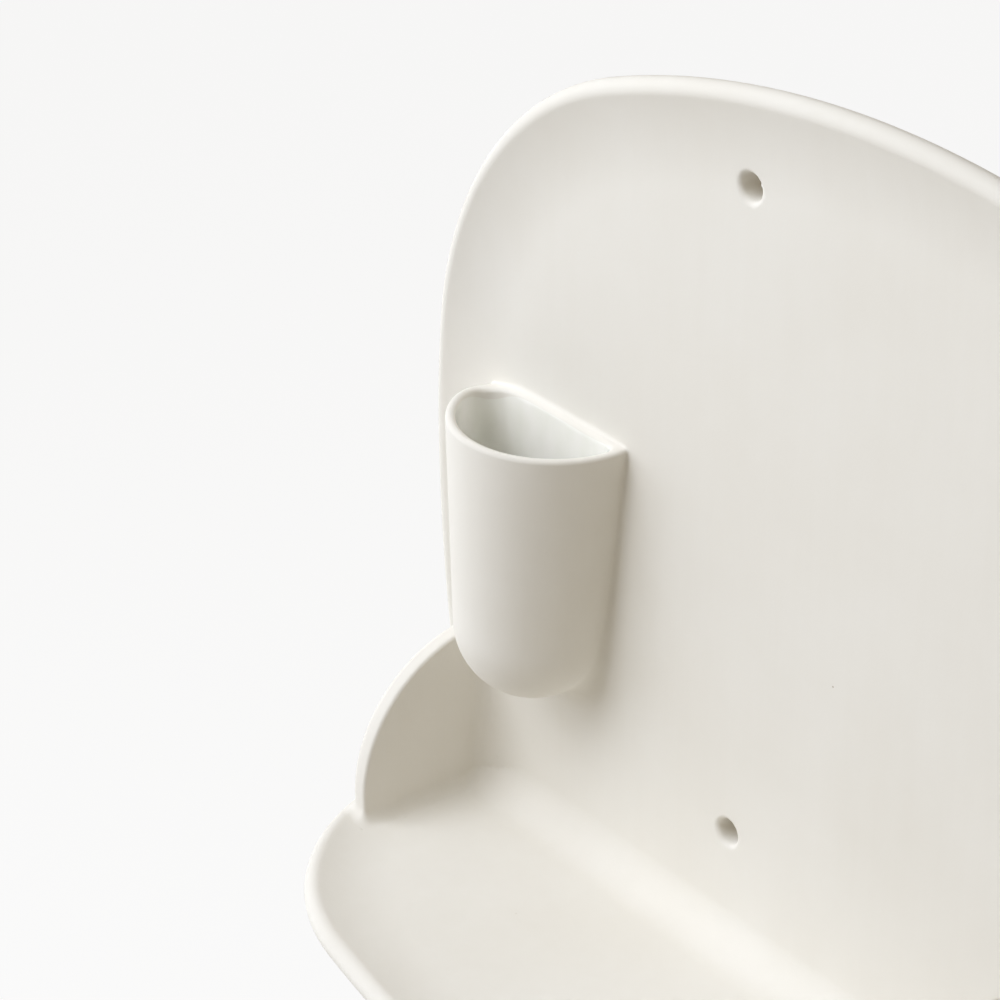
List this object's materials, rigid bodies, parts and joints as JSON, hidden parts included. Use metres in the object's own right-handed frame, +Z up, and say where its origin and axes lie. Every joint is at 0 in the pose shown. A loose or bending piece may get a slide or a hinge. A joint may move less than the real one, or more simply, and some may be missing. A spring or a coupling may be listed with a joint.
{
  "type": "hanging wall vase",
  "caption": "Dished oval ceramic wall plate with a low shelf, rounded end cheeks and a D-shaped glazed vase pocket, hung on screws.",
  "frame": {"origin": "on the wall plane, in the middle of the screw holes", "axes": "+X to the right as seen from the room, +Y into the wall, +Z up"},
  "size_m": [0.341, 0.102, 0.25],
  "materials": {
    "bare_clay": "matt",
    "inside_glaze": "gloss"
  },
  "bodies": {
    "root": {"back_panel": "bare_clay", "shelf": "bare_clay", "cove_coil": "bare_clay", "left_cheek": "bare_clay", "right_cheek": "bare_clay", "vase_pocket": "bare_clay", "vase_glaze": "inside_glaze"}
  },
  "joints": []
}
